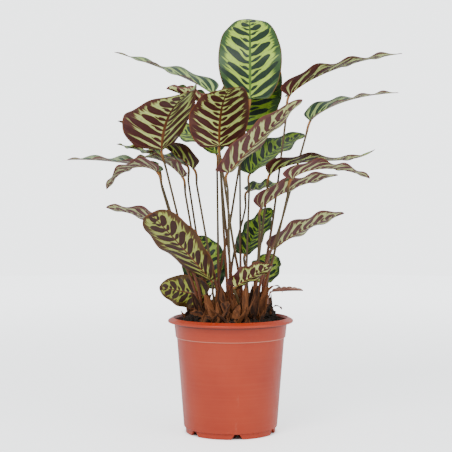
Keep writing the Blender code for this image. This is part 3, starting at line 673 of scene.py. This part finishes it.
def blade_sheet(leaf, shares, places, seed):
    """The blade's middle surface and its normals, as arrays of stations by places."""
    ribs = midrib(leaf, shares)
    ways = blade_ways(leaf, shares)
    sheet = np.zeros((len(shares), len(places), 3))
    for i, s in enumerate(shares):
        along, side, out = ways[i]
        for j, (back, aside, height) in enumerate(section(leaf, s, places)):
            height += ripple(leaf, s, places[j], seed)
            sheet[i, j] = ribs[i] - along * back + side * aside + out * height
    normals = np.cross(np.gradient(sheet, axis=1), np.gradient(sheet, axis=0))
    normals /= np.linalg.norm(normals, axis=2, keepdims=True)
    return sheet, normals, ribs, ways


def stalk_rings_of(leaf, path, lengths, joint, across):
    """Rings of the stalk: upright in the soil, then along its path, and thicker at the joint."""
    _, side, out = blade_ways(leaf, [0.0])[0]
    carried = carried_back(path, side, out)
    flat = unit(np.array([carried[0][0][0], carried[0][0][1], 0.0]))
    level = np.cross(flat, UP)
    end = path[0] - UP * (COLLAR + BURIED)
    rings = [round_ring(centre, flat, level, STALK_FOOT_RADIUS, across) for centre in (end, path[0])]
    for i in range(1, len(path)):
        share = lengths[i] / lengths[-1]
        radius = STALK_FOOT_RADIUS + (STALK_RADIUS - STALK_FOOT_RADIUS) * min(1.0, share / STALK_THINNED)
        left = (lengths[-1] - lengths[i]) / joint
        swell = min(1.0, max(0.0, (JOINT_SWOLLEN + 0.15 - left) / 0.3))
        radius += max(0.0, JOINT_RADIUS - radius) * swell * swell * (3.0 - 2.0 * swell)
        rings.append(round_ring(path[i], *carried[i], radius, across))
    return rings


def crowded(places):
    """Places from -1 to 1, denser at the midrib."""
    return np.sign(places) * (0.45 * np.abs(places) + 0.55 * np.abs(places) ** 2)


def blade_rings_of(leaf, across, shares, places, seed):
    """Rings of the blade, which flatten from the joint's round section and end in the tip."""
    sheet, normals, ribs, ways = blade_sheet(leaf, shares, places, seed)
    rings = []
    for i in range(1, len(shares)):
        s = shares[i]
        _, side, out = ways[i]
        half = half_width(leaf, s)
        thick = BLADE_THICK * (1.0 - 0.5 * np.abs(places)[:, None] ** 4)
        upper = sheet[i] + normals[i] * thick / 2.0
        lower = sheet[i] - normals[i] * thick / 2.0
        tall = leaf.rib + (RIB_TIP - leaf.rib) * s
        width = RIB_HALF * (1.0 - 0.7 * s)
        rounding = np.exp(-((places * half / width) ** 2))[:, None]
        lower -= out * tall * rounding
        upper -= out * 0.25 * tall * rounding
        flat_ring = np.vstack([upper, lower[::-1]])
        mix = min(1.0, s / FLATTENED)
        mix = mix * mix * (3.0 - 2.0 * mix)
        tube = round_ring(ribs[i], side, out, JOINT_RADIUS * (1.0 - mix / 2), across)
        rings.append(tube * (1.0 - mix) + flat_ring * mix)
    return rings


def skin_faces(ring_count, across):
    """Quads of a closed skin over rings, then the caps at both ends."""
    size = 2 * across
    faces = []
    for i in range(ring_count - 1):
        faces += ring_faces(i * size, (i + 1) * size, size)
    last = (ring_count - 1) * size
    for k in range(across - 1):
        p, q = k, k + 1
        r, t = size - 1 - q, size - 1 - p
        faces.append((p, t, r, q))
        faces.append((last + p, last + q, last + r, last + t))
    return faces


def add_leaf(leaf, materials, grid, number, paleness):
    """One leaf as a closed skin, with maps of where on the blade a point lies and of its tone.

    The materials are those of the stalk, of the upper side and of the underside.
    """
    across, stalk_rings, blade_rings = grid
    path, lengths, joint = stalk_path(leaf, stalk_rings)
    rings = stalk_rings_of(leaf, path, lengths, joint, across)
    stalk_count = len(rings)
    even = np.linspace(0.0, 1.0, blade_rings + 1)
    shares = EVEN_SHARE * even + (1.0 - EVEN_SHARE) * (1.0 - np.cos(pi * even)) / 2.0
    places = crowded(np.linspace(-1.0, 1.0, across))
    rings += blade_rings_of(leaf, across, shares, places, number)
    mesh = mesh_of(leaf.name + "_fine", np.vstack(rings), skin_faces(len(rings), across))
    size = 2 * across
    both = list(places) + list(places[::-1])
    along = [0.0] + [length / lengths[-1] for length in lengths] + list(shares[1:])
    where = mesh.uv_layers.new(name="place")
    vein = mesh.uv_layers.new(name="vein")
    tone = mesh.uv_layers.new(name="tone")
    for face in mesh.polygons:
        ring, spot = divmod(min(face.vertices), size)
        spots = [v % size for v in face.vertices]
        on_blade = max(face.vertices) // size >= stalk_count
        face.material_index = (1 if max(spots) < across else 2) if on_blade else 0
        for loop in face.loop_indices:
            row, spot = divmod(mesh.loops[loop].vertex_index, size)
            share = 0.0 if on_blade and row < stalk_count else along[row]
            where.uv[loop].vector = (share, both[spot])
            started = vein_at(share, both[spot])
            vein.uv[loop].vector = (started, started / patch_step(leaf))
            tone.uv[loop].vector = (paleness, number * 0.37)
    add_piece(leaf.name + "_fine", mesh, 60, leaf.name, materials)


class Wiring:
    """Short calls for building the nodes of one material."""

    def __init__(self, name):
        self.material = bpy.data.materials.new(name)
        self.material.use_nodes = True
        self.tree = self.material.node_tree
        self.shader = self.tree.nodes["Principled BSDF"]
        self.output = self.tree.nodes["Material Output"]

    def link(self, value, socket):
        if isinstance(value, bpy.types.NodeSocket):
            self.tree.links.new(value, socket)
        else:
            socket.default_value = value

    def feed(self, node, **values):
        """Set or link a node's inputs by their names."""
        for name, value in values.items():
            self.link(value, node.inputs[name.replace("_", " ")])

    def node(self, kind):
        return self.tree.nodes.new("ShaderNode" + kind)

    def math(self, operation, a, b=0.5, c=0.5, clamp=False):
        made = self.node("Math")
        made.operation = operation
        made.use_clamp = clamp
        for socket, value in zip(made.inputs, (a, b, c)):
            self.link(value, socket)
        return made.outputs[0]

    def times(self, a, b):
        return self.math("MULTIPLY", a, b)

    def plus(self, a, b, clamp=False):
        return self.math("ADD", a, b, clamp=clamp)

    def minus(self, a, b, clamp=False):
        return self.math("SUBTRACT", a, b, clamp=clamp)

    def smooth(self, value, low, high, first=0.0, last=1.0):
        """A soft step from first to last, as value goes from low to high."""
        made = self.node("MapRange")
        made.interpolation_type = "SMOOTHSTEP"
        for socket, number in zip(made.inputs, (value, low, high, first, last)):
            self.link(number, socket)
        return made.outputs[0]

    def mix(self, share, first, second):
        """Between two colours."""
        made = self.node("Mix")
        made.data_type = "RGBA"
        self.link(share, made.inputs["Factor"])
        for name, colour in (("A", first), ("B", second)):
            socket = next(s for s in made.inputs if s.name == name and s.type == "RGBA")
            self.link((*colour, 1.0) if isinstance(colour, tuple) else colour, socket)
        return next(s for s in made.outputs if s.type == "RGBA")

    def split(self, vector):
        """The three numbers of a vector."""
        parts = self.node("SeparateXYZ")
        self.link(vector, parts.inputs[0])
        return parts.outputs

    def map(self, name):
        """The two numbers of a map of the mesh."""
        made = self.node("UVMap")
        made.uv_map = name
        return self.split(made.outputs[0])[:2]

    def vector(self, x, y, z):
        made = self.node("CombineXYZ")
        for socket, value in zip(made.inputs, (x, y, z)):
            self.link(value, socket)
        return made.outputs[0]

    def place(self):
        """Coordinates in metres."""
        return self.node("TexCoord").outputs["Object"]

    def noise(self, vector, scale, detail=2.0, roughness=0.5, stretch=None):
        if stretch:
            scaled = self.node("VectorMath")
            scaled.operation = "MULTIPLY"
            self.link(vector, scaled.inputs[0])
            scaled.inputs[1].default_value = stretch
            vector = scaled.outputs[0]
        made = self.node("TexNoise")
        self.feed(made, Vector=vector, Scale=scale, Detail=detail, Roughness=roughness)
        return made.outputs["Fac"]

    def bump(self, height, distance, strength=1.0):
        made = self.node("Bump")
        self.feed(made, Distance=distance, Strength=strength, Height=height)
        self.link(made.outputs[0], self.shader.inputs["Normal"])
        return made.outputs[0]

    def glow(self, colour, normal, share):
        """Let part of the light through, as a thin leaf does."""
        through = self.node("BsdfTranslucent")
        self.feed(through, Color=colour, Normal=normal)
        both = self.node("MixShader")
        both.inputs[0].default_value = share
        self.link(self.shader.outputs[0], both.inputs[1])
        self.link(through.outputs[0], both.inputs[2])
        self.link(both.outputs[0], self.output.inputs["Surface"])

    def set(self, **values):
        self.feed(self.shader, **values)


def blade_material(name, pale, plain, deep, rib, rim, band_from, thick, roughness):
    """The feathered pattern of one side of the blades.

    pale, plain and deep each give the colours of the ground, the patches and the margin. The margin's
    band begins at the share band_from of the half width. thick is how much of its step a patch fills.
    """
    w = Wiring(name)
    s, t = w.map("place")
    paleness, seed = w.map("tone")
    faded_and_sheen = w.math("MAXIMUM", paleness, 0.0)
    dark = w.math("MAXIMUM", w.times(paleness, -1.0), 0.0)
    a = w.math("ABSOLUTE", t)
    far_half = w.math("GREATER_THAN", t, 0.0)

    # Along the side veins
    spot = w.vector(w.times(s, 2.2), t, seed)
    wander = w.times(w.minus(w.noise(spot, 1.6), 0.5), 0.07)
    started, counted = w.map("vein")
    vein = w.plus(started, wander)
    phase = w.plus(counted, w.math("DIVIDE", wander, PATCH_STEP))
    phase = w.plus(phase, w.times(far_half, 0.45))
    phase = w.plus(phase, w.times(seed, 1.7))
    off = w.math("ABSOLUTE", w.minus(w.math("FRACT", phase), 0.5))

    # Each patch's own size
    count = w.math("FLOOR", phase)
    own = w.noise(w.vector(count, far_half, seed), 0.9, 0.0)
    reach = w.times(w.smooth(own, 0.3, 0.7, 0.62, 0.82), w.smooth(vein, 0.55, 0.95, 1.0, 0.6))
    reach = w.times(reach, w.smooth(vein, -0.08, 0.26, 1.7, 1.0))

    def patch(distance, reach, half):
        out = w.math("DIVIDE", a, reach)
        blunt = w.math("SQRT", w.minus(1.0, w.math("POWER", out, 4.5), clamp=True))
        neck = w.smooth(out, 0.0, 0.55, 0.42, 1.0)
        edge = w.times(w.times(blunt, neck), half)
        return w.smooth(w.minus(edge, distance), -0.012, 0.035)

    large = patch(off, reach, thick / 2)
    small_reach = w.smooth(own, 0.35, 0.65, 0.38, 0.24)
    small = patch(w.minus(0.5, off), small_reach, thick / 4)

    # Fine lines towards the margin, and the margin's band
    feather = w.noise(w.vector(w.times(vein, 34.0), w.times(a, 1.2), seed), 1.0, 2.0)
    ends = w.math("MAXIMUM", a, w.smooth(s, 0.86, 1.0))
    ends = w.math("MAXIMUM", ends, w.smooth(s, 0.06, 0.0))
    jagged = w.plus(ends, w.times(w.minus(feather, 0.5), 0.85))
    band_in = w.plus(jagged, w.times(dark, 0.08))
    band = w.smooth(band_in, band_from, band_from + 0.15)
    lines = w.times(w.smooth(feather, 0.56, 0.68), w.smooth(a, 0.42, 0.72))
    patches = w.math("MAXIMUM", w.math("MAXIMUM", large, small), w.times(lines, 0.75))

    # Colours by paleness, which holds painted shade, glow and sheen as well as each leaf's own tone
    ground, marks, margin = [w.mix(dark, w.mix(faded_and_sheen, plain[k], pale[k]), deep[k]) for k in range(3)]
    mottle = w.noise(w.vector(w.times(s, 14.0), w.times(t, 9.0), seed), 2.0, 3.0)
    hair = w.noise(w.vector(w.times(vein, 150.0), a, seed), 1.0, 1.0)
    colour = w.mix(w.smooth(hair, 0.35, 0.75, 0.0, 0.28), ground, margin)
    colour = w.mix(band, colour, margin)
    colour = w.mix(patches, colour, marks)
    colour = w.mix(w.smooth(mottle, 0.45, 0.8, 0.0, 0.22), colour, margin)
    rib_edge = w.smooth(s, 0.0, 1.0, 0.055, 0.03)
    on_rib = w.smooth(w.math("DIVIDE", a, rib_edge), 1.1, 0.6)
    colour = w.mix(on_rib, colour, w.mix(w.smooth(s, 0.1, 0.7), rib[0], rib[1]))
    rusty = w.times(w.smooth(ends, 0.955, 0.985), w.smooth(mottle, 0.35, 0.6, 0.35, 1.0))
    colour = w.mix(rusty, colour, rim)

    ridges = w.plus(w.times(hair, 0.5), w.times(feather, 0.8))
    normal = w.bump(ridges, 0.0006, 0.5)
    w.set(Base_Color=colour, Roughness=w.smooth(mottle, 0.3, 0.7, roughness - 0.06, roughness + 0.08))
    w.set(Specular_IOR_Level=0.28)
    w.glow(colour, normal, GLOW_SHARE)
    return w.material


def stalk_material():
    w = Wiring("stalk")
    share, t = w.map("place")
    paleness, seed = w.map("tone")
    streak = w.noise(w.vector(w.times(share, 3.0), w.times(t, 4.0), seed), 2.0, 3.0)
    lower = w.mix(streak, (0.050, 0.012, 0.004), (0.17, 0.042, 0.010))
    upper = w.mix(streak, (0.028, 0.019, 0.006), (0.085, 0.052, 0.014))
    colour = w.mix(w.smooth(share, 0.12, 0.5), lower, upper)
    colour = w.mix(w.smooth(share, 0.91, 1.0, 0.0, 0.9), colour, (0.24, 0.095, 0.018))
    w.bump(streak, 0.0003, 0.4)
    w.set(Base_Color=colour, Roughness=w.smooth(streak, 0.3, 0.7, 0.38, 0.55), Specular_IOR_Level=0.3)
    return w.material


def papery_material(name, dark, light, edge):
    """Dry, fibrous brown paper, lighter at its edges."""
    w = Wiring(name)
    s, t = w.map("place")
    tone, seed = w.map("tone")
    fibre = w.noise(w.vector(w.times(s, 1.2), w.times(t, 7.0), seed), 2.2, 3.0)
    blotch = w.noise(w.vector(w.times(s, 1.3), w.times(t, 0.7), seed), 1.6, 2.0)
    own = w.plus(w.smooth(blotch, 0.3, 0.7), w.times(tone, 0.5), clamp=True)
    colour = w.mix(own, dark, light)
    colour = w.mix(w.smooth(fibre, 0.5, 0.75, 0.0, 0.45), colour, dark)
    colour = w.mix(w.smooth(w.math("ABSOLUTE", t), 0.8, 1.0, 0.0, 0.4), colour, edge)
    normal = w.bump(fibre, 0.0008, 0.6)
    w.set(Base_Color=colour, Roughness=w.smooth(fibre, 0.3, 0.7, 0.62, 0.85), Specular_IOR_Level=0.2)
    w.glow(colour, normal, 0.12)
    return w.material


def add_shreds(surface):
    """Loose bits of dry sheath that stand and lean among the feet of the stalks, as one piece."""
    draw = random.Random(SHRED_DRAW)
    points, faces, maps = [], [], []
    stands = [*LEAVES, *(strip for strip in dry_strips() if "sheath" in strip.name)]
    for number in range(SHREDS):
        leaf = stands[draw.randrange(len(stands))]
        turn = 2 * pi * draw.random()
        away = draw.uniform(*SHRED_AWAY)
        x, y = leaf.foot[0] + away * cos(turn), leaf.foot[1] + away * sin(turn)
        tall, wide = draw.uniform(*SHRED_TALL), draw.uniform(*SHRED_WIDE)
        lean = Vector((draw.uniform(*SHRED_LEAN_RIGHT), draw.uniform(*SHRED_LEAN_AWAY), 1.0)).normalized()
        face_way = draw.uniform(*SHRED_TURN)
        side = Vector((cos(face_way), sin(face_way), 0.0))
        out = side.cross(lean).normalized()
        foot = Vector((x, y, soil_height(x, y) - SHRED_SUNK))
        first = len(points)
        for i in range(SHRED_RINGS + 1):
            s = i / SHRED_RINGS
            bend = out * (0.25 * tall * s * s * sin(number))
            half = wide / 2.0 * (0.75 + 0.25 * sin(3.0 * s)) * (1.0 - s**2.2) + SHRED_THICK
            middle = foot + lean * (tall * s) + bend
            cup = out * (half * 0.7)
            for t in (-1.0, 0.0, 1.0):
                spot = middle + side * (half * t) - cup * t * t
                points += [spot + out * SHRED_THICK / 2.0, spot - out * SHRED_THICK / 2.0]
                maps += [(s, t, number)] * 2
        for i in range(SHRED_RINGS):
            row, above = first + 6 * i, first + 6 * i + 6
            for a, b in ((0, 2), (2, 4), (4, 5), (5, 3), (3, 1), (1, 0)):
                faces.append((row + a, row + b, above + b, above + a))
        last = first + 6 * SHRED_RINGS
        faces += [(first, first + 1, first + 3, first + 2), (first + 2, first + 3, first + 5, first + 4)]
        faces += [(last, last + 2, last + 3, last + 1), (last + 2, last + 4, last + 5, last + 3)]
    mesh = mesh_of("sheath_shreds", points, faces)
    where, tone = [mesh.uv_layers.new(name=name) for name in ("place", "tone")]
    for loop in mesh.loops:
        s, t, number = maps[loop.vertex_index]
        where.uv[loop.index].vector = (s, t)
        tone.uv[loop.index].vector = (0.25 + sin(TONE_STEP * number), number * 0.53)
    add_piece("sheath_shreds", mesh, 50, None, [surface])


def soil_material():
    w = Wiring("potting soil")
    spot = w.place()
    coarse = w.noise(spot, 130.0, 4.0, 0.6)
    fine = w.noise(spot, 900.0, 3.0, 0.6)
    colour = w.mix(w.smooth(coarse, 0.35, 0.65), (0.004, 0.0025, 0.002), (0.022, 0.012, 0.007))
    colour = w.mix(w.smooth(fine, 0.60, 0.74, 0.0, 0.8), colour, (0.065, 0.036, 0.020))
    colour = w.mix(w.smooth(w.noise(spot, 420.0, 1.0), 0.74, 0.78, 0.0, 0.9), colour, (0.22, 0.17, 0.12))
    w.bump(w.plus(coarse, w.times(fine, 0.5)), 0.0014, 0.9)
    w.set(Base_Color=colour, Roughness=w.smooth(fine, 0.3, 0.7, 0.82, 0.98), Specular_IOR_Level=0.25)
    return w.material


def pot_material():
    """Satin moulded plastic with fine turning marks, dust, scuffs, specks of soil and a painted highlight on
    the band's step.
    """
    w = Wiring("pot plastic")
    spot = w.place()
    x, y, height = w.split(spot)
    cloud = w.noise(spot, 18.0, 3.0)
    rings = w.noise(spot, 60.0, 3.0, 0.6, (0.15, 0.15, 9.0))
    scuff = w.noise(spot, 55.0, 5.0, 0.7, (1.0, 1.0, 0.35))
    colour = w.mix(w.smooth(cloud, 0.3, 0.7), (0.285, 0.021, 0.003), (0.320, 0.028, 0.005))
    colour = w.mix(w.smooth(rings, 0.4, 0.7, 0.0, 0.16), colour, (0.36, 0.055, 0.018))
    colour = w.mix(w.smooth(scuff, 0.62, 0.8, 0.0, 0.3), colour, (0.42, 0.16, 0.10))
    low = w.smooth(height, 0.030, 0.004)
    rare = w.minus(0.80, w.times(low, 0.10))
    speck = w.smooth(w.noise(spot, 620.0, 2.0), rare, 0.83)
    speck = w.times(speck, w.smooth(height, POT_HEIGHT, 0.0, 0.1, 0.9))
    colour = w.mix(speck, colour, (0.05, 0.025, 0.015))
    radius = w.math("SQRT", w.plus(w.math("POWER", x, 2.0), w.math("POWER", y, 2.0)))
    inside = w.times(w.smooth(height, POT_HEIGHT, 0.150), w.smooth(height, 0.1462, 0.1472))
    inside = w.times(inside, w.math("LESS_THAN", radius, MOUTH_RADIUS + GAP / 2))
    soiled = w.times(inside, w.smooth(cloud, 0.3, 0.7, 0.5, 0.9))
    colour = w.mix(soiled, colour, (0.06, 0.014, 0.007))
    # Painted highlight: a pale line along the step at the band's foot, where light catches the edge.
    step_highlight_distance = w.math("ABSOLUTE", w.minus(height, BAND_FOOT))
    colour = w.mix(w.smooth(step_highlight_distance, 0.0008, 0.0004, 0.0, 0.5), colour, (0.62, 0.28, 0.19))
    w.bump(w.plus(rings, w.times(scuff, 0.4)), 0.0004, 0.18)
    w.set(Base_Color=colour, Roughness=w.smooth(scuff, 0.3, 0.75, 0.33, 0.5), Specular_IOR_Level=0.38)
    return w.material


def add_camera():
    """The photo's camera: level with the middle of the plant and turned a little down and left."""
    data = bpy.data.cameras.new("camera")
    data.sensor_width = SENSOR
    data.lens = FOCAL * SENSOR / PHOTO_SIDE
    made = new_object("camera", data)
    made.location = (0.0, -CAMERA_AWAY, CAMERA_HEIGHT)
    down = atan((PHOTO_SIDE / 2 - PHOTO_HORIZON) / FOCAL)
    left = atan((PHOTO_AXIS - PHOTO_SIDE / 2) / FOCAL)
    made.rotation_euler = (pi / 2 - down, 0.0, left)
    bpy.context.scene.camera = made


def add_light(name, at, power):
    data = bpy.data.lights.new(name, "AREA")
    data.shape = "DISK"
    data.size = LIGHT_SIZE
    data.energy = power
    made = new_object(name, data)
    made.location = at
    made.rotation_mode = "QUATERNION"
    made.rotation_quaternion = (Vector(at) - Vector(LIGHT_TARGET)).to_track_quat("Z", "Y")


def add_room():
    """A plain white floor and an even white surround."""
    edge = circle(0.0, 0.0, 0.0, FLOOR_RADIUS, FLOOR_SIDES)
    floor = new_object("floor", mesh_of("floor", edge, [tuple(range(FLOOR_SIDES))]))
    w = Wiring("floor")
    cloud = w.noise(w.place(), 3.0, 3.0)
    w.set(Base_Color=w.mix(cloud, (0.90, 0.91, 0.92), (0.93, 0.94, 0.95)), Roughness=0.6)
    length = w.node("VectorMath")
    length.operation = "LENGTH"
    w.link(w.place(), length.inputs[0])
    away = length.outputs["Value"]
    seen = w.node("LightPath").outputs["Is Camera Ray"]
    glow = w.times(w.smooth(away, *FLOOR_REACH, FLOOR_NEAR, FLOOR_FAR), seen)
    # No glow under the pot's foot, fading in just round it: a painted contact shadow.
    glow = w.times(glow, w.smooth(away, 0.9 * FOOT_RADIUS, 1.1 * FOOT_RADIUS))
    w.set(Emission_Color=DAYLIGHT, Emission_Strength=glow)
    floor.data.materials.append(w.material)
    world = bpy.data.worlds.new("surround")
    world.use_nodes = True
    background = world.node_tree.nodes["Background"]
    background.inputs["Color"].default_value = DAYLIGHT
    seen = world.node_tree.nodes.new("ShaderNodeLightPath")
    strength = world.node_tree.nodes.new("ShaderNodeMapRange")
    strength.inputs["To Min"].default_value = SURROUND
    strength.inputs["To Max"].default_value = BACKDROP
    world.node_tree.links.new(seen.outputs["Is Camera Ray"], strength.inputs["Value"])
    world.node_tree.links.new(strength.outputs[0], background.inputs["Strength"])
    bpy.context.scene.world = world
    add_light("key", KEY_AT, KEY_POWER)
    add_light("fill", FILL_AT, FILL_POWER)


def main():
    add_pot(pot_material())
    earth = soil_material()
    add_soil(earth)
    add_crumbs(earth)
    stalk = stalk_material()
    upper = blade_material(
        "upper side",
        pale=((0.36, 0.45, 0.24), (0.045, 0.085, 0.055), (0.20, 0.27, 0.15)),
        plain=((0.42, 0.60, 0.065), (0.013, 0.031, 0.016), (0.040, 0.090, 0.026)),
        deep=((0.15, 0.26, 0.006), (0.006, 0.014, 0.006), (0.022, 0.06, 0.007)),
        rib=((0.10, 0.19, 0.03), (0.05, 0.10, 0.02)),
        rim=(0.18, 0.075, 0.02),
        band_from=0.68,
        thick=0.64,
        roughness=0.36,
    )
    under = blade_material(
        "underside",
        pale=((0.42, 0.44, 0.25), (0.13, 0.036, 0.038), (0.17, 0.060, 0.052)),
        plain=((0.72, 0.82, 0.25), (0.072, 0.014, 0.013), (0.105, 0.027, 0.020)),
        deep=((0.34, 0.39, 0.050), (0.035, 0.012, 0.007), (0.08, 0.04, 0.007)),
        rib=((0.20, 0.060, 0.013), (0.080, 0.016, 0.011)),
        rim=(0.22, 0.065, 0.017),
        band_from=0.66,
        thick=0.74,
        roughness=0.42,
    )
    for number, leaf in enumerate(LEAVES):
        add_leaf(leaf, (stalk, upper, under), LEAF_GRID, number, PALENESS[number])
    dry = papery_material("dry leaf", (0.12, 0.045, 0.03), (0.34, 0.19, 0.14), (0.40, 0.25, 0.18))
    papery = papery_material("sheath", (0.020, 0.007, 0.003), (0.165, 0.056, 0.018), (0.25, 0.10, 0.035))
    add_leaf(DRY_LEAF, (dry, dry, dry), DRY_GRID, DRY_LEAF_SEED, 0.0)
    for number, strip in enumerate(dry_strips()):
        tone = sin(TONE_STEP * number)
        add_leaf(strip, (papery, papery, papery), DRY_GRID, STRIP_SEED + number, tone)
    add_shreds(papery)
    add_room()
    add_camera()


main()
